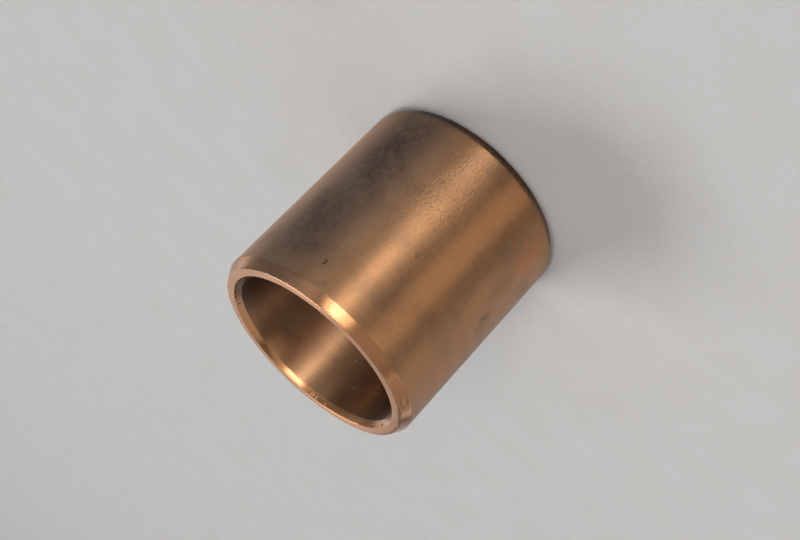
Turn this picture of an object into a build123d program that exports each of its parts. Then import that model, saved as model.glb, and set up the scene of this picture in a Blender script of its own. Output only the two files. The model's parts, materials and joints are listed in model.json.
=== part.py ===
from build123d import *

import os
from math import radians, tan

# A plain bronze sleeve bushing, turned from solid bar in one piece. Millimetres.
# It stands on one end: the bore runs along +Z, and the origin is the centre of the lower end face.

# Driving dimensions
bore_diameter = 18.0    # running bore, for the shaft
wall = 2.0              # thickness of the sleeve, from the bore to the outside
length = 23.0           # over the two end faces
lead_in_length = 1.0    # outer chamfer, along the axis, that starts the bushing into its housing
lead_in_angle = 30.0    # degrees between that chamfer and the axis
bore_chamfer = 0.5      # 45 degree chamfer at each mouth of the bore
edge_break = 0.06       # radius left on every turned edge once its burr is off

# Sizes that follow from them
bore_radius = bore_diameter / 2
outer_radius = bore_radius + wall
lead_in_depth = lead_in_length * tan(radians(lead_in_angle))
mouth_radius = bore_radius + bore_chamfer     # inner edge of each end face
face_radius = outer_radius - lead_in_depth    # outer edge of each end face

# The wall's section, as (radius, height), turned once round the axis
with BuildPart() as bushing:
    with BuildSketch(Plane.XZ) as wall_section:
        with BuildLine():
            Polyline(
                (mouth_radius, 0),
                (face_radius, 0),
                (outer_radius, lead_in_length),
                (outer_radius, length - lead_in_length),
                (face_radius, length),
                (mouth_radius, length),
                (bore_radius, length - bore_chamfer),
                (bore_radius, bore_chamfer),
                close=True,
            )
        make_face()
        fillet(wall_section.vertices(), edge_break)
    revolve(axis=Axis.Z)

bushing.part.label = "bushing"

os.makedirs("parts", exist_ok=True)
export_step(bushing.part, "parts/bushing.step")
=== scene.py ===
# A plain bronze sleeve bushing, standing on one end on a pale studio floor.
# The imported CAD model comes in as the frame. Lengths are in metres, unless a name ends in Mm.

import json
import math

import bmesh
import bpy
from mathutils import Matrix, Vector, noise


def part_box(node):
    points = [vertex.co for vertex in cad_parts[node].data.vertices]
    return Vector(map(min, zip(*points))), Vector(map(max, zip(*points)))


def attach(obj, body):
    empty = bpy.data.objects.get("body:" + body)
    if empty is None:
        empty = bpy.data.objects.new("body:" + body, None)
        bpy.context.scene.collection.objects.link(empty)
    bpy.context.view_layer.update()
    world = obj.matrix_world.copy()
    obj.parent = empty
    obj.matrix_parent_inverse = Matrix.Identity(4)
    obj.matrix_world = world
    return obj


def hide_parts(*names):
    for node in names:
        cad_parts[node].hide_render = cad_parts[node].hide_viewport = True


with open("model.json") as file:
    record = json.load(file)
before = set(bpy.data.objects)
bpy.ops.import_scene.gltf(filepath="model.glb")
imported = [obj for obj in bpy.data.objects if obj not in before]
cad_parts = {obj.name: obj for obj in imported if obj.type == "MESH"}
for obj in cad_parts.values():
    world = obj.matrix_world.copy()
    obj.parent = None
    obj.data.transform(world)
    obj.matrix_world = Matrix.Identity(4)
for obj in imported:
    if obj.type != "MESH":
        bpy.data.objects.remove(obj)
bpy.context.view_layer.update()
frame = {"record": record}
mm = 0.001


def mountSize(mountName, key):
    mount = next(m for m in frame["record"]["mounts"] if m["name"] == mountName)
    return mount["dims"][key] * mm


def linearColour(hexColour):
    # sRGB hex to the linear colour that the shaders take
    parts = [int(hexColour[i:i + 2], 16) / 255 for i in (1, 3, 5)]
    return [p / 12.92 if p <= 0.04045 else ((p + 0.055) / 1.055) ** 2.4 for p in parts] + [1.0]


def addNode(tree, kind, settings=None, links=None):
    # settings: node properties, or values for its input sockets; links: input socket to output socket
    node = tree.nodes.new(kind)
    for key, value in (settings or {}).items():
        if isinstance(key, int) or key in node.inputs:
            node.inputs[key].default_value = value
        else:
            setattr(node, key, value)
    for key, source in (links or {}).items():
        tree.links.new(source, node.inputs[key])
    return node


# a Mix node's colour sockets go by number, because its number sockets have the same names
mixAmount, mixUnder, mixOver, mixResult = 0, 6, 7, 2


def newMaterial(name):
    material = bpy.data.materials.new(name)
    material.use_nodes = True
    material.node_tree.nodes.clear()
    return material, material.node_tree


# The sleeve is its wall section, turned round the bore's axis, with wear cut and painted into the mesh, and
# shade painted on its lower lead-in and in its bore.

sleeve = {
    "columns": 432,          # round the axis, 0.16 mm apart on the outside
    "rowStepMm": 0.35,       # along the long straight stretches of the section
    "leadInAngle": 30.0,     # degrees between the outer chamfer and the axis
    "edgeBreakMm": 0.06,     # radius of every turned edge
    "edgeSteps": 3,          # rows round each edge
    "edgeSwayMm": 0.05,      # how far an edge wanders
    "swayFade": 1.2,         # where the wander ends, as a share of the lead-in's length
    "swayRing": 9,           # more of this puts more waves round the sleeve
    "swaySlow": 0.6,         # bumps about 2 mm long
    "swayQuick": 2.3,        # and on them, bumps about 0.5 mm long
    "swayQuickShare": 0.15,
    "markRings": 2,          # how often the mesh is halved round a mark
    "ringReach": 1.6,        # and how far out, as a share of the mark's reach
    "ringMarginMm": 0.3,
    "finestEdgeMm": 0.045,   # an edge shorter than this isn't halved
    "markDeepMm": 0.25,      # a mark takes in points this far off its own surface
    "markFarMm": 3.0,        # nothing further away than this belongs to a mark
    "cutSteepness": 1.3,
    "lipHeight": 0.22,       # the metal raised round a cut, as a share of its depth
    "lipAt": 1.25,           # and where it stands and how wide it is, as shares of the cut's reach
    "lipWidth": 0.3,
    "lipEnd": 2.2,
    "stainEnd": 2,           # a stain ends here, as a share of the mark's reach
    "boreSkinMm": 0.2,       # the bore's wear stops this far into the wall
    "outsideSkinMm": 0.7,    # the outside's takes in the lead-ins too, which are 0.58 mm deep
    "patchEdge": 2.5,        # how sharply a patch ends, where it has no edge of its own

    # Nicks, pits and stains on each turned surface, at an azimuth round the axis and a height in mm.
    # reach is half its width round the axis and half its width the other way, in mm; turn tips it.
    # cut is how deep it goes into the metal, in mm; oxide and dust are how dark or how pale it is.
    "marks": {
        "outside": [
            # a comma-shaped nick and a faint smudge near the mouth
            {"azimuth": -65, "height": 19.6, "reach": (0.14, 0.31), "turn": -8, "cut": 0.03, "oxideAndPaintedShade": 1.0},
            {"azimuth": -72, "height": 21.2, "reach": (0.25, 0.25), "cut": 0.004, "oxideAndPaintedShade": 0.2},
            # smudges along the flank
            {"azimuth": -94, "height": 13.5, "reach": (0.3, 0.4), "turn": 20, "cut": 0.006, "oxideAndPaintedShade": 0.3},
            {"azimuth": -146, "height": 11.2, "reach": (0.4, 0.9), "turn": -30, "cut": 0.005, "oxideAndPaintedShade": 0.25},
            {"azimuth": -149, "height": 12.4, "reach": (0.35, 0.4), "turn": 20, "cut": 0.005, "oxideAndPaintedShade": 0.2},
            {"azimuth": -160, "height": 5.0, "reach": (0.6, 0.8), "turn": 10, "cut": 0.005, "oxideAndPaintedShade": 0.2},
            # pinholes
            {"azimuth": -131, "height": 6.2, "reach": (0.09, 0.09), "cut": 0.02, "oxideAndPaintedShade": 0.5},
            {"azimuth": -112, "height": 6.1, "reach": (0.09, 0.1), "cut": 0.02, "oxideAndPaintedShade": 0.4},
            {"azimuth": -128, "height": 12.5, "reach": (0.08, 0.1), "cut": 0.02, "oxideAndPaintedShade": 0.4},
            {"azimuth": -107, "height": 11.0, "reach": (0.08, 0.1), "cut": 0.02, "oxideAndPaintedShade": 0.4},
            # bright scratches in the tarnish
            {"azimuth": -43, "height": 15.5, "reach": (0.5, 0.06), "turn": 25, "cut": 0.02},
            {"azimuth": -46, "height": 16.3, "reach": (0.3, 0.05), "turn": -15, "cut": 0.02},
            # a nick, a smudge and a pinhole on the back
            {"azimuth": 62, "height": 14.8, "reach": (0.13, 0.4), "turn": -25, "cut": 0.05, "oxideAndPaintedShade": 0.7},
            {"azimuth": 118, "height": 6.5, "reach": (0.6, 0.6), "cut": 0.005, "oxideAndPaintedShade": 0.25},
            {"azimuth": 20, "height": 9.0, "reach": (0.09, 0.09), "cut": 0.02, "oxideAndPaintedShade": 0.5},
        ],
        "mouth": [
            # pits in the bore's chamfer
            {"azimuth": 149, "height": 22.88, "reach": (0.11, 0.09), "cut": 0.05, "oxideAndPaintedShade": 1},
            {"azimuth": 161, "height": 22.86, "reach": (0.15, 0.1), "cut": 0.05, "oxideAndPaintedShade": 1},
            {"azimuth": 173, "height": 22.84, "reach": (0.15, 0.09), "cut": 0.05, "oxideAndPaintedShade": 1},
            # a broken dark line along its upper edge, and a pit past its end
            {"azimuth": 6, "height": 22.95, "reach": (0.34, 0.05), "cut": 0.05, "oxideAndPaintedShade": 1},
            {"azimuth": 14, "height": 22.93, "reach": (0.5, 0.05), "turn": 3, "cut": 0.05, "oxideAndPaintedShade": 1},
            {"azimuth": 21, "height": 22.94, "reach": (0.3, 0.05), "cut": 0.05, "oxideAndPaintedShade": 1},
            {"azimuth": 28, "height": 22.8, "reach": (0.1, 0.09), "cut": 0.04, "oxideAndPaintedShade": 0.7},
            # chatter beside the brightest stretch
            {"azimuth": 107, "height": 22.8, "reach": (0.1, 0.16), "cut": 0.05, "oxideAndPaintedShade": 0.3},
            {"azimuth": 111, "height": 22.8, "reach": (0.08, 0.16), "cut": 0.05, "oxideAndPaintedShade": 0.3},
            {"azimuth": 118, "height": 22.85, "reach": (0.1, 0.1), "cut": 0.04, "oxideAndPaintedShade": 0.4},
        ],
        "leadIn": [
            {"azimuth": 191, "height": 22.9, "reach": (0.14, 0.1), "cut": 0.05, "oxideAndPaintedShade": 0.6},
            {"azimuth": 230, "height": 22.2, "reach": (0.9, 0.25), "turn": 12, "cut": 0.012},
            {"azimuth": 215, "height": 22.3, "reach": (0.7, 0.3), "turn": -10, "cut": 0.012},
        ],
        "bore": [
            # specks of dust, which stand up
            {"azimuth": 114, "height": 17.4, "reach": (0.07, 0.07), "cut": -0.03, "dust": 1},
            {"azimuth": 126, "height": 19.9, "reach": (0.07, 0.07), "cut": -0.03, "dust": 1},
            {"azimuth": 140.5, "height": 18.8, "reach": (0.06, 0.06), "cut": -0.03, "dust": 1},
            {"azimuth": 145.7, "height": 19.5, "reach": (0.08, 0.05), "turn": 20, "cut": -0.03, "dust": 1},
        ],
    },
    # Broad patches of tarnish and wear, with soft edges: reach round the axis and along it, in mm. The lower
    # lead-in's oxide is mostly painted shade, and the bore's film is painted shade.
    # A higher edge is a harder one.
    "patches": {
        "oxideAndPaintedShade": [
            {"azimuth": -43, "height": 17, "reach": (3.2, 4.5), "amount": 0.8},
            {"azimuth": -46, "height": 3.5, "reach": (3.6, 4.5), "amount": 0.75},
            {"azimuth": -46, "height": 10, "reach": (3.0, 6.0), "amount": 0.5},
            {"azimuth": -97, "height": 2.0, "reach": (2.5, 1.5), "amount": 0.3},
            # painted shade: this patch darkens the lower lead-in, standing in for the contact shadow it
            # mirrors at the floor; it is partly oxide as well
            {"azimuth": -85, "height": 0.3, "reach": (15.0, 0.7), "amount": 1.1},    # the lower lead-in
            {"azimuth": 35, "height": 9, "reach": (4.0, 6.0), "amount": 0.5},
            {"azimuth": 100, "height": 16, "reach": (5.0, 4.0), "amount": 0.55},
            {"azimuth": 152, "height": 7, "reach": (3.0, 5.0), "amount": 0.4},
        ],
        "filmAndPaintedShade": [
            {"azimuth": -45, "height": 11.5, "reach": (4.6, 16.0), "amount": 0.8},
            {"azimuth": 110, "height": 11.5, "reach": (6.0, 12.0), "amount": 0.5},
            # painted shade: a dark film on the bore's two dim sides and along its near wall, left off the
            # side where the bright streak is mirrored
            {"on": "bore", "azimuth": -3, "height": 11.5, "reach": (9.0, 30.0), "amount": 0.85, "edge": 5},
            {"on": "bore", "azimuth": 183, "height": 11.5, "reach": (8.6, 30.0), "amount": 0.85, "edge": 5},
            {"on": "bore", "azimuth": 268, "height": 11.5, "reach": (9.0, 30.0), "amount": 0.5, "edge": 4},
        ],
        "copper": [
            {"azimuth": -140, "height": 4.2, "reach": (2.0, 2.1), "amount": 0.55, "edge": 7},
            {"azimuth": -158, "height": 17, "reach": (2.0, 3.0), "amount": 0.45},
            {"azimuth": 75, "height": 5, "reach": (2.4, 2.2), "amount": 0.6},
        ],
        "pebbled": [
            {"azimuth": -85, "height": 7, "reach": (3.0, 6.0), "amount": 1.0},
            {"azimuth": -66, "height": 9, "reach": (3.2, 7.0), "amount": 0.35},
            {"azimuth": -84, "height": 18, "reach": (3.0, 3.0), "amount": 0.3},
            {"azimuth": 130, "height": 12, "reach": (6.0, 7.0), "amount": 0.8},
            {"azimuth": 30, "height": 14, "reach": (5.0, 5.0), "amount": 0.5},
        ],
    },
}


def roundedSection(corners, radius, steps):
    # closed (radius, height) outline with an arc at each corner
    outline = []
    count = len(corners)
    for i, corner in enumerate(corners):
        here = Vector(corner)
        back = (Vector(corners[i - 1]) - here).normalized()
        on = (Vector(corners[(i + 1) % count]) - here).normalized()
        half = back.angle(on) / 2
        centre = here + (back + on).normalized() * (radius / math.sin(half))
        start = here + back * (radius / math.tan(half)) - centre
        end = here + on * (radius / math.tan(half)) - centre
        for k in range(steps + 1):
            outline.append(centre + start.lerp(end, k / steps).normalized() * radius)
    return outline


def filledSection(outline, step):
    # adds even rows to the stretches that are longer than a step
    rows = []
    for i, here in enumerate(outline):
        after = outline[(i + 1) % len(outline)]
        pieces = max(1, math.ceil((after - here).length / step))
        rows += [here.lerp(after, k / pieces) for k in range(pieces)]
    return rows


def latheMesh(name, rows, columns):
    turns = [2 * math.pi * j / columns for j in range(columns)]
    points = [(r * math.cos(a), r * math.sin(a), z) for r, z in rows for a in turns]
    count = len(rows)
    faces = [
        (i * columns + j, i * columns + (j + 1) % columns,
         (i + 1) % count * columns + (j + 1) % columns, (i + 1) % count * columns + j)
        for i in range(count) for j in range(columns)
    ]
    mesh = bpy.data.meshes.new(name)
    mesh.from_pydata(points, [], faces)
    return mesh


def placeMark(sizes, surface, mark):
    # adds a mark's centre, its outward normal and its two directions in the surface
    lean = math.radians(sizes["leadInAngle"])
    high, bore, outer = sizes["high"], sizes["boreRadius"], sizes["outerRadius"]
    z = sizes["low"] + mark["height"] * mm
    radius, tip = {
        "outside": (outer, 0),
        "bore": (bore, math.pi),
        "leadIn": (outer - (z - (high - sizes["leadIn"])) * math.tan(lean), lean),
        "mouth": (bore + z - (high - sizes["mouth"]), math.radians(135)),    # faces up and in
    }[surface]
    turn = math.radians(mark["azimuth"])
    radial = Vector((math.cos(turn), math.sin(turn), 0))
    around = Vector((-math.sin(turn), math.cos(turn), 0))
    normal = radial * math.cos(tip) + Vector((0, 0, math.sin(tip)))
    centre = radial * radius + Vector((0, 0, z))
    return {**mark, "centre": centre, "normal": normal, "around": around, "slope": normal.cross(around)}


def markReach(sizes, mark, point):
    # how far a point is out from a mark's centre, where 1 is its rim; None for a point that isn't on it
    offset = point - mark["centre"]
    if offset.length > sizes["markFarMm"] * mm:
        return None
    if abs(offset.dot(mark["normal"])) > sizes["markDeepMm"] * mm:
        return None
    u, v = offset.dot(mark["around"]) / mm, offset.dot(mark["slope"]) / mm
    tip = math.radians(mark.get("turn", 0))
    a = (u * math.cos(tip) + v * math.sin(tip)) / mark["reach"][0]
    b = (v * math.cos(tip) - u * math.sin(tip)) / mark["reach"][1]
    return math.hypot(a, b)


def refineRound(work, sizes, mark):
    # halves the mesh round a mark, so that its outline is smooth
    for ring in range(sizes["markRings"]):
        near = (max(mark["reach"]) * sizes["ringReach"] + sizes["ringMarginMm"] / (ring + 1)) * mm
        faces = [f for f in work.faces if (f.calc_center_median() - mark["centre"]).length < near]
        # a dict keeps the edges in order, so that each run numbers the new points alike
        edges = dict.fromkeys(e for f in faces for e in f.edges)
        coarse = [e for e in edges if e.calc_length() > sizes["finestEdgeMm"] * mm]
        bmesh.ops.subdivide_edges(work, edges=coarse, cuts=1, use_grid_fill=True)


def cutMarks(mesh, sizes, marks):
    work = bmesh.new()
    work.from_mesh(mesh)
    for mark in marks:
        refineRound(work, sizes, mark)
    for point in work.verts:
        push = Vector()
        for mark in marks:
            reach = markReach(sizes, mark, point.co)
            if reach is not None and reach < sizes["lipEnd"]:
                lip = sizes["lipHeight"] * math.exp(-((reach - sizes["lipAt"]) / sizes["lipWidth"]) ** 2)
                dip = math.exp(-(reach * sizes["cutSteepness"]) ** 4) - lip
                push -= mark["normal"] * mark["cut"] * mm * dip
        point.co += push
    work.to_mesh(mesh)
    work.free()


def sideOf(sizes, point):
    if point.xy.length < sizes["boreRadius"] + sizes["boreSkinMm"] * mm:
        return "bore"
    if point.xy.length > sizes["outerRadius"] - sizes["outsideSkinMm"] * mm:
        return "outside"
    return None


def paintWear(mesh, sizes, marks):
    # the wear, and the painted shade, at each point is stored with the mesh, where the finishes read it by
    # name
    values = {name: [0.0] * len(mesh.vertices) for name in (*sizes["patches"], "dust")}
    for i, vertex in enumerate(mesh.vertices):
        point = vertex.co
        turn = math.degrees(math.atan2(point.y, point.x))
        side = sideOf(sizes, point)
        for name, spots in sizes["patches"].items():
            for spot in spots:
                if spot.get("on", "outside") != side:
                    continue
                swing = (turn - spot["azimuth"] + 180) % 360 - 180
                u = math.radians(swing) * sizes["outerRadius"] / mm
                v = point.z / mm - spot["height"]
                reach = math.hypot(u / spot["reach"][0], v / spot["reach"][1])
                edge = spot.get("edge", sizes["patchEdge"])
                values[name][i] += spot["amount"] * math.exp(-reach ** edge)
        for mark in marks:
            reach = markReach(sizes, mark, point)
            if reach is not None and reach < sizes["stainEnd"]:
                for name in ("oxideAndPaintedShade", "dust"):
                    # twice its amount, which is cut off at 1, so that a stain fills its mark
                    stain = mark.get(name, 0) * 2 * math.exp(-reach ** 4)
                    values[name][i] = max(values[name][i], stain)
    for name, column in values.items():
        layer = mesh.attributes.new(name, "FLOAT", "POINT")
        layer.data.foreach_set("value", column)


def roughenEdges(mesh, sizes):
    # a turned edge is never quite even: the chamfers' lines wander by a few hundredths of a mm
    fade = sizes["leadIn"] * sizes["swayFade"]
    middle = (sizes["boreRadius"] + sizes["outerRadius"]) / 2
    ring = sizes["swayRing"]
    for vertex in mesh.vertices:
        point = vertex.co
        end = min(point.z - sizes["low"], sizes["high"] - point.z)
        if end > fade:
            continue
        turn = math.atan2(point.y, point.x)
        shift = 3 if point.z > 1 * mm else -3    # so that the two ends don't wander alike
        seed = Vector((math.cos(turn) * ring, math.sin(turn) * ring, shift + point.xy.length / mm))
        quick = sizes["swayQuickShare"] * noise.noise(seed * sizes["swayQuick"])
        wander = noise.noise(seed * sizes["swaySlow"]) + quick
        outward = 1 if point.xy.length > middle else -1
        # nothing grows past the sleeve's own box or into the bore
        inset = (wander - 1) / 2 * sizes["edgeSwayMm"] * mm * (1 - end / fade)
        point.x += math.cos(turn) * inset * outward
        point.y += math.sin(turn) * inset * outward


def makeSleeve(shape, finishNames):
    low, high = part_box("bushing")
    length = high.z - low.z
    outer, bore = mountSize("outside", "r_mm"), mountSize("bore", "r_mm")
    leadIn = (length - mountSize("outside", "length_mm")) / 2
    mouth = (length - mountSize("bore", "length_mm")) / 2
    sizes = {
        **shape, "outerRadius": outer, "boreRadius": bore, "leadIn": leadIn, "mouth": mouth,
        "low": low.z, "high": high.z,
    }
    face = outer - leadIn * math.tan(math.radians(shape["leadInAngle"]))
    corners = [
        (bore + mouth, low.z), (face, low.z), (outer, low.z + leadIn), (outer, high.z - leadIn),
        (face, high.z), (bore + mouth, high.z), (bore, high.z - mouth), (bore, low.z + mouth),
    ]
    outline = roundedSection(corners, shape["edgeBreakMm"] * mm, shape["edgeSteps"])
    rows = filledSection(outline, shape["rowStepMm"] * mm)
    mesh = latheMesh("sleeve", rows, shape["columns"])
    roughenEdges(mesh, sizes)
    for polygon in mesh.polygons:
        r, z = polygon.center.xy.length, polygon.center.z
        finishName = "facedBronze"
        if low.z + leadIn < z < high.z - leadIn and r > (outer + bore) / 2:
            finishName = "groundBronze"
        elif low.z + mouth < z < high.z - mouth and r < (outer + bore) / 2:
            finishName = "boredBronze"
        polygon.material_index = finishNames.index(finishName)
    marks = []
    for surface, group in shape["marks"].items():
        marks += [placeMark(sizes, surface, mark) for mark in group]
    cutMarks(mesh, sizes, marks)
    paintWear(mesh, sizes, marks)
    mesh.shade_smooth()
    piece = bpy.data.objects.new("sleeve", mesh)
    bpy.context.scene.collection.objects.link(piece)
    triangles = sum(len(p.vertices) - 2 for p in mesh.polygons)
    print("sleeve", len(mesh.vertices), "points", triangles, "triangles", len(marks), "marks")
    return piece


# The finishes: one tin bronze, ground outside, faced on the ends and bored inside.
# A pattern finer than about 0.1 mm would not show, so the grooves are drawn coarser than real ones.

finishes = {
    # brown satin, tarnished and a little pebbled, whose highlights run straight along the axis
    "groundBronze": {
        "colour": "#b7875d",
        "oxideAndShadeColour": "#6f5a4e",
        "filmAndShadeColour": "#a48b79",
        "roughness": 0.42,
        "anisotropy": 0.99,      # the grooves run round the axis, so a highlight spreads along it
        "grooveMm": 0.11,
        "grooveDepthMm": 0.0002,
        "pebbleMm": 0.16,
        "pebbleDepthMm": 0.032,
        "fleckMm": 0.2,
        "flecks": 0.55,
        "tarnish": 0.5,
        "coat": 0.22,            # the skin of oil that a bearing is kept in
    },
    # the brightest: smooth faced rings on the ends and chamfers, with dark pits along their edges
    "facedBronze": {
        "colour": "#b68159",
        # its oxide colour also paints the shade on the lower lead-in
        "oxideAndShadeColour": "#47362e",
        "filmAndShadeColour": "#a48b79",
        "roughness": 0.25,
        "anisotropy": 0.6,
        "grooveMm": 0.09,
        "grooveDepthMm": 0.0001,
        "pebbleMm": 0.4,
        "pebbleDepthMm": 0.001,
        "fleckMm": 0.15,
        "flecks": 0.08,
        "tarnish": 0.25,
        "coat": 0.0,
    },
    # paler boring marks, and a dark film colour that paints shade on the bore's two dim sides, left off where
    # the bright streak is mirrored
    "boredBronze": {
        "colour": "#cd9d75",
        "oxideAndShadeColour": "#47362e",
        # dark enough to paint shade on the bore's two dim sides
        "filmAndShadeColour": "#6c5e55",
        "roughness": 0.42,
        "anisotropy": 0.96,
        "grooveMm": 0.14,
        "grooveDepthMm": 0.0006,
        "pebbleMm": 0.3,
        "pebbleDepthMm": 0.003,
        "fleckMm": 0.25,
        "flecks": 0.2,
        "tarnish": 0.4,
        "coat": 0.0,
    },
}
# what the three finishes share
bronzeWear = {
    "copperColour": "#c98152",
    "copperMost": 0.75,
    "dustColour": "#d8cfc4",
    "bloomMm": 4.5,
    "speckMm": 0.6,
    "grooveRunMm": 20,       # how far round the axis a groove keeps its depth
    "grooveShade": 0.16,
    "oxideRoughness": 0.08,  # how much rougher the bronze is where it is fully oxidised
    "coatRoughness": 0.3,
}


def turnedTinBronze(name, finish, worn):
    # tin bronze, turned: warm brown satin, whose highlights are straight streaks along the axis
    material, tree = newMaterial(name)
    colour, oxideAndShadeColour, filmAndShadeColour = (
        linearColour(finish[key]) for key in ("colour", "oxideAndShadeColour", "filmAndShadeColour"))
    place = addNode(tree, "ShaderNodeTexCoord").outputs["Object"]
    scaled = addNode(tree, "ShaderNodeVectorMath", {"operation": "SCALE", "Scale": 1 / mm}, {0: place})
    inMm = scaled.outputs[0]
    wear = {layer: addNode(tree, "ShaderNodeAttribute", {"attribute_name": layer}).outputs["Fac"]
            for layer in ("oxideAndPaintedShade", "filmAndPaintedShade", "copper", "pebbled", "dust")}

    # tarnish: a cloudy brown bloom a few mm wide, broken up by fine specks
    bloom = addNode(tree, "ShaderNodeTexNoise", {
        "Scale": 1 / worn["bloomMm"], "Detail": 3, "Roughness": 0.55}, {"Vector": inMm})
    specks = addNode(tree, "ShaderNodeTexNoise", {
        "Scale": 1 / worn["speckMm"], "Detail": 4, "Roughness": 0.65}, {"Vector": inMm})
    bloomPart = addNode(tree, "ShaderNodeMapRange", {
        "From Min": 0.5, "From Max": 0.75, "To Max": finish["tarnish"]}, {"Value": bloom.outputs["Fac"]})
    # the oxide painted into the mesh, which includes painted shade on the lower lead-in, is added to the
    # bloom
    cover = addNode(tree, "ShaderNodeMath", {"operation": "ADD"}, {
        0: bloomPart.outputs[0], 1: wear["oxideAndPaintedShade"]})
    speckPart = addNode(tree, "ShaderNodeMapRange", {
        "From Min": 0.36, "From Max": 0.64, "To Min": 0.55, "To Max": 0.95}, {
        "Value": specks.outputs["Fac"]})
    oxideAndPaintedShade = addNode(tree, "ShaderNodeMath", {"operation": "MULTIPLY", "use_clamp": True}, {
        0: cover.outputs[0], 1: speckPart.outputs[0]})

    # flecks: small dark pits, drawn out along the axis and thickest where the skin is pebbled
    drawnOut = addNode(tree, "ShaderNodeVectorMath", {"operation": "MULTIPLY", 1: (1, 1, 0.5)}, {0: inMm})
    flecks = addNode(tree, "ShaderNodeTexNoise", {
        "Scale": 1 / finish["fleckMm"], "Detail": 2, "Roughness": 0.5}, {"Vector": drawnOut.outputs[0]})
    fleckMost = addNode(tree, "ShaderNodeMapRange", {
        "To Min": 0.25 * finish["flecks"], "To Max": finish["flecks"]}, {"Value": wear["pebbled"]})
    fleckPart = addNode(tree, "ShaderNodeMapRange", {"From Min": 0.55, "From Max": 0.7}, {
        "Value": flecks.outputs["Fac"], "To Max": fleckMost.outputs[0]})

    # grooves: rings round the axis, so the noise is squeezed along Z only
    squeeze = (1 / worn["grooveRunMm"], 1 / worn["grooveRunMm"], 1 / finish["grooveMm"])
    squeezed = addNode(tree, "ShaderNodeVectorMath", {"operation": "MULTIPLY", 1: squeeze}, {0: inMm})
    grooves = addNode(tree, "ShaderNodeTexNoise", {
        "Scale": 1, "Detail": 3, "Roughness": 0.6}, {"Vector": squeezed.outputs[0]})
    grooveShade = addNode(tree, "ShaderNodeMapRange", {
        "From Min": 0.3, "From Max": 0.7, "To Max": worn["grooveShade"]}, {"Value": grooves.outputs["Fac"]})

    # pebbles: the hammered look of a skin that has been knocked about
    pebbles = addNode(tree, "ShaderNodeTexNoise", {
        "Scale": 1 / finish["pebbleMm"], "Detail": 2, "Roughness": 0.5}, {"Vector": inMm})
    pebblePart = addNode(tree, "ShaderNodeMapRange", {"To Min": 0.15}, {"Value": wear["pebbled"]})

    # the colour is built up in layers, from the clean bronze to the dust on top
    clean = addNode(tree, "ShaderNodeMix", {
        "data_type": "RGBA", mixUnder: colour, mixOver: oxideAndShadeColour}, {mixAmount: grooveShade.outputs[0]})
    copperPart = addNode(tree, "ShaderNodeMath", {
        "operation": "MULTIPLY", 1: worn["copperMost"], "use_clamp": True}, {0: wear["copper"]})
    coppery = addNode(tree, "ShaderNodeMix", {
        "data_type": "RGBA", mixOver: linearColour(worn["copperColour"])}, {
        mixAmount: copperPart.outputs[0], mixUnder: clean.outputs[mixResult]})
    # the film layer also paints shade on the bore's two dim sides
    filmedAndShaded = addNode(tree, "ShaderNodeMix", {"data_type": "RGBA", mixOver: filmAndShadeColour}, {
        mixAmount: wear["filmAndPaintedShade"], mixUnder: coppery.outputs[mixResult]})
    flecked = addNode(tree, "ShaderNodeMix", {"data_type": "RGBA", mixOver: oxideAndShadeColour}, {
        mixAmount: fleckPart.outputs[0], mixUnder: filmedAndShaded.outputs[mixResult]})
    tarnished = addNode(tree, "ShaderNodeMix", {"data_type": "RGBA", mixOver: oxideAndShadeColour}, {
        mixAmount: oxideAndPaintedShade.outputs[0], mixUnder: flecked.outputs[mixResult]})
    dusty = addNode(tree, "ShaderNodeMix", {
        "data_type": "RGBA", mixOver: linearColour(worn["dustColour"])}, {
        mixAmount: wear["dust"], mixUnder: tarnished.outputs[mixResult]})

    roughness = addNode(tree, "ShaderNodeMapRange", {
        "To Min": finish["roughness"], "To Max": finish["roughness"] + worn["oxideRoughness"]}, {
        "Value": oxideAndPaintedShade.outputs[0]})
    pebbleBump = addNode(tree, "ShaderNodeBump", {"Distance": finish["pebbleDepthMm"] * mm}, {
        "Height": pebbles.outputs["Fac"], "Strength": pebblePart.outputs[0]})
    grooveBump = addNode(tree, "ShaderNodeBump", {"Distance": finish["grooveDepthMm"] * mm, "Strength": 1}, {
        "Height": grooves.outputs["Fac"], "Normal": pebbleBump.outputs[0]})
    axial = addNode(tree, "ShaderNodeTangent", {"direction_type": "RADIAL", "axis": "Z"})
    shader = addNode(tree, "ShaderNodeBsdfPrincipled", {
        "Metallic": 1.0, "Anisotropic": finish["anisotropy"], "Anisotropic Rotation": 0.25,
        "Coat Weight": finish["coat"], "Coat Roughness": worn["coatRoughness"]}, {
        "Base Color": dusty.outputs[mixResult], "Roughness": roughness.outputs[0],
        "Normal": grooveBump.outputs[0], "Tangent": axial.outputs["Tangent"]})
    addNode(tree, "ShaderNodeOutputMaterial", links={"Surface": shader.outputs["BSDF"]})
    print("finish", material.name)
    return material


# The floor: a sheet of matt drawing paper.

floorPaper = {
    "colour": "#b6b5b4",
    "hollowColour": "#b2b0ae",    # between the fibres
    "side": 8.0,
    "roughness": 0.85,
    "gloss": 0.1,
    "fibreMm": 0.5,
    "cloudMm": 7.0,
    "fibreDepthMm": 0.012,
}


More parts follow.
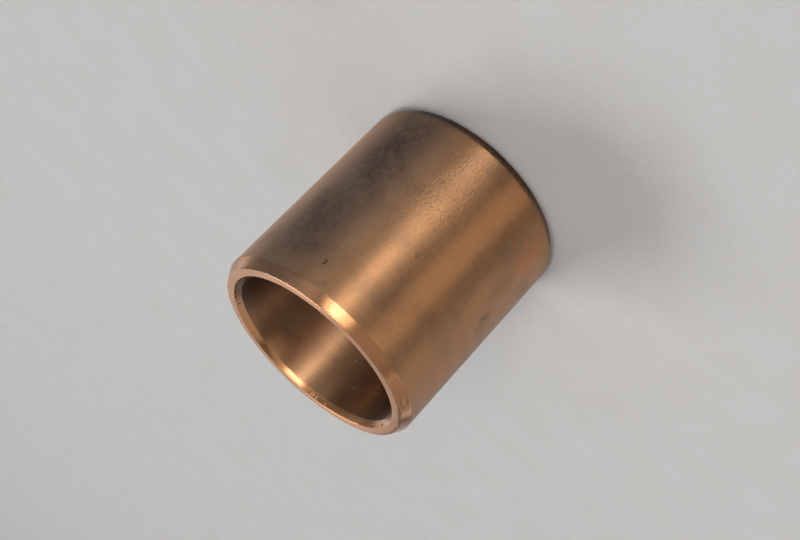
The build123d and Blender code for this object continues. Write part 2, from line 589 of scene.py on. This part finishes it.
def makeFloor(paper):
    # pale grey, faintly mottled, with a fine tooth that only raking light shows
    mesh = bpy.data.meshes.new("floor")
    half = paper["side"] / 2
    corners = [(-half, -half, 0), (half, -half, 0), (half, half, 0), (-half, half, 0)]
    mesh.from_pydata(corners, [], [(0, 1, 2, 3)])
    floor = bpy.data.objects.new("floor", mesh)
    bpy.context.scene.collection.objects.link(floor)
    material, tree = newMaterial("mattPaper")
    place = addNode(tree, "ShaderNodeTexCoord").outputs["Object"]
    scaled = addNode(tree, "ShaderNodeVectorMath", {"operation": "SCALE", "Scale": 1 / mm}, {0: place})
    inMm = scaled.outputs[0]
    clouds = addNode(tree, "ShaderNodeTexNoise", {
        "Scale": 1 / paper["cloudMm"], "Detail": 4}, {"Vector": inMm})
    fibres = addNode(tree, "ShaderNodeTexNoise", {
        "Scale": 1 / paper["fibreMm"], "Detail": 3}, {"Vector": inMm})
    mottle = addNode(tree, "ShaderNodeMath", {"operation": "MULTIPLY"}, {
        0: clouds.outputs["Fac"], 1: fibres.outputs["Fac"]})
    amount = addNode(tree, "ShaderNodeMapRange", {
        "From Min": 0.15, "From Max": 0.4}, {"Value": mottle.outputs[0]})
    colour = addNode(tree, "ShaderNodeMix", {
        "data_type": "RGBA", mixUnder: linearColour(paper["hollowColour"]),
        mixOver: linearColour(paper["colour"])}, {mixAmount: amount.outputs[0]})
    tooth = addNode(tree, "ShaderNodeBump", {"Distance": paper["fibreDepthMm"] * mm, "Strength": 1}, {
        "Height": fibres.outputs["Fac"]})
    shader = addNode(tree, "ShaderNodeBsdfPrincipled", {
        "Roughness": paper["roughness"], "Specular IOR Level": paper["gloss"]}, {
        "Base Color": colour.outputs[mixResult], "Normal": tooth.outputs[0]})
    addNode(tree, "ShaderNodeOutputMaterial", links={"Surface": shader.outputs["BSDF"]})
    mesh.materials.append(material)
    print("floor", paper["side"], "m square")


# The camera looks down at the mouth from close by.

camera = {
    "place": (0.0, -0.11913, 0.06492),
    "aim": (-0.00057, 0.0, 0.01069),
    "rollDeg": -136.4,       # turned well over, so that the sleeve lies aslant in the frame
    "lensMm": 61.65,
    "sensorMm": 36.0,
}


def makeCamera(view):
    data = bpy.data.cameras.new("camera")
    data.lens = view["lensMm"]
    data.sensor_width = view["sensorMm"]
    data.clip_start = 0.005
    data.clip_end = 10.0
    obj = bpy.data.objects.new("camera", data)
    bpy.context.scene.collection.objects.link(obj)
    look = Vector(view["aim"]) - Vector(view["place"])
    level = look.to_track_quat("-Z", "Y").to_matrix().to_4x4()
    roll = Matrix.Rotation(math.radians(view["rollDeg"]), 4, "Z")
    obj.matrix_world = Matrix.Translation(view["place"]) @ level @ roll
    bpy.context.scene.camera = obj
    print("camera", round(look.length / mm), "mm away")


# The studio: softboxes stand round the bushing, some high ones lean over it and one hangs above.

# azimuth and spread are in degrees round the axis, bottom and top in degrees above the floor;
# glow is a panel's own brightness: one of 1 shows white where it is mirrored.
softboxes = {
    # from behind the bushing
    "key": {"azimuth": 67, "spread": 36, "bottom": 42, "top": 60, "glow": 12.5},
    "backBand": {"azimuth": 75, "spread": 44, "bottom": 8, "top": 34, "glow": 0.8},
    "backLow": {"azimuth": 56, "spread": 60, "bottom": 0.5, "top": 7, "glow": 1.36},
    # the bright streak on the outside, in the bore and on the chamfers
    "brightStrip": {"azimuth": 280.5, "spread": 20, "bottom": 1, "top": 60, "glow": 1.1},
    "brightCore": {"azimuth": 281, "spread": 12, "bottom": 1, "top": 42, "glow": 5.0, "colour": "#fffaf4"},
    "brightHigh": {"azimuth": 279, "spread": 37, "bottom": 33, "top": 46, "glow": 4.4},
    "brightTop": {"azimuth": 280, "spread": 46, "bottom": 66, "top": 76, "glow": 10, "leans": True},
    "brightWide": {"azimuth": 268, "spread": 110, "bottom": 63.5, "top": 73, "glow": 1.2, "leans": True},
    # the warm streak beside it
    "warmStrip": {"azimuth": 234, "spread": 26, "bottom": 0.5, "top": 9.5, "glow": 5.39, "colour": "#ffeace"},
    # fills, between which the dark bands stand
    "frontUpper": {"azimuth": 228, "spread": 50, "bottom": 26, "top": 50, "glow": 0.47},
    "leftFill": {"azimuth": 168, "spread": 60, "bottom": 1, "top": 10, "glow": 1.81, "colour": "#e6ecff"},
    "leftMiddle": {"azimuth": 180, "spread": 50, "bottom": 11, "top": 31, "glow": 0.31},
    "leftUpper": {"azimuth": 160, "spread": 70, "bottom": 28, "top": 62, "glow": 0.63},
    "cornerFill": {"azimuth": 122, "spread": 24, "bottom": 1, "top": 34, "glow": 0.1},
    "rightFill": {"azimuth": 309, "spread": 28, "bottom": 1, "top": 30, "glow": 0.85, "colour": "#f4faff"},
    "rightUpper": {"azimuth": 330, "spread": 40, "bottom": 31, "top": 60, "glow": 0.55, "colour": "#f4faff"},
    "sideFill": {"azimuth": 12, "spread": 56, "bottom": 4, "top": 42, "glow": 0.14, "colour": "#f4faff"},
}
studio = {
    "distance": 1.1,         # from the axis to every softbox
    "colour": "#ffffff",     # of a softbox that names none
    "overheadSide": 0.5,     # the one above is square
    "overheadGlow": 0.75,
    "overheadOff": 0.001,    # off the axis by a hair, so that it has a definite turn
    "worldGrey": 0.15,       # linear; dim, to keep the dark bands in the bronze
}


def addSoftbox(name, width, height, glow, colour, place, aim):
    data = bpy.data.lights.new(name, "AREA")
    data.shape = "RECTANGLE"
    data.size = width
    data.size_y = height
    data.energy = glow * math.pi * width * height
    data.color = linearColour(colour)[:3]
    panel = bpy.data.objects.new(name, data)
    bpy.context.scene.collection.objects.link(panel)
    panel.location = place
    panel.rotation_mode = "QUATERNION"
    panel.rotation_quaternion = (place - aim).to_track_quat("Z", "Y")
    panel.visible_camera = False


def makeStudio(rig):
    away = rig["distance"]
    centre = Vector((0, 0, 0))
    for name, box in softboxes.items():
        turn, low, high = (math.radians(box[key]) for key in ("azimuth", "bottom", "top"))
        outward = Vector((math.cos(turn), math.sin(turn), 0))
        width = 2 * away * math.tan(math.radians(box["spread"] / 2))
        if box.get("leans"):
            # a high panel faces the bushing
            rise = (low + high) / 2
            width *= math.cos(rise)
            height = 2 * away * math.tan((high - low) / 2)
            place = (outward * math.cos(rise) + Vector((0, 0, math.sin(rise)))) * away
            aim = centre
        else:
            # the others stand upright, so that their sides mirror as straight lines along the axis
            bottom, top = away * math.tan(low), away * math.tan(high)
            height = top - bottom
            aim = Vector((0, 0, (bottom + top) / 2))
            place = outward * away + aim
        addSoftbox(name, width, height, box["glow"], box.get("colour", rig["colour"]), place, aim)
    side = rig["overheadSide"]
    above = Vector((0, rig["overheadOff"], away))
    addSoftbox("overhead", side, side, rig["overheadGlow"], rig["colour"], above, centre)
    world = bpy.data.worlds.new("studio")
    bpy.context.scene.world = world
    world.use_nodes = True
    world.node_tree.nodes["Background"].inputs["Color"].default_value = (*[rig["worldGrey"]] * 3, 1)
    print("studio", len(softboxes) + 1, "softboxes")


makeCamera(camera)
sleevePiece = makeSleeve(sleeve, list(finishes))
for finishName, finish in finishes.items():
    sleevePiece.data.materials.append(turnedTinBronze(finishName, finish, bronzeWear))
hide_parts("bushing")
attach(sleevePiece, "root")
makeFloor(floorPaper)
makeStudio(studio)
bpy.context.scene.view_settings.view_transform = "Standard"
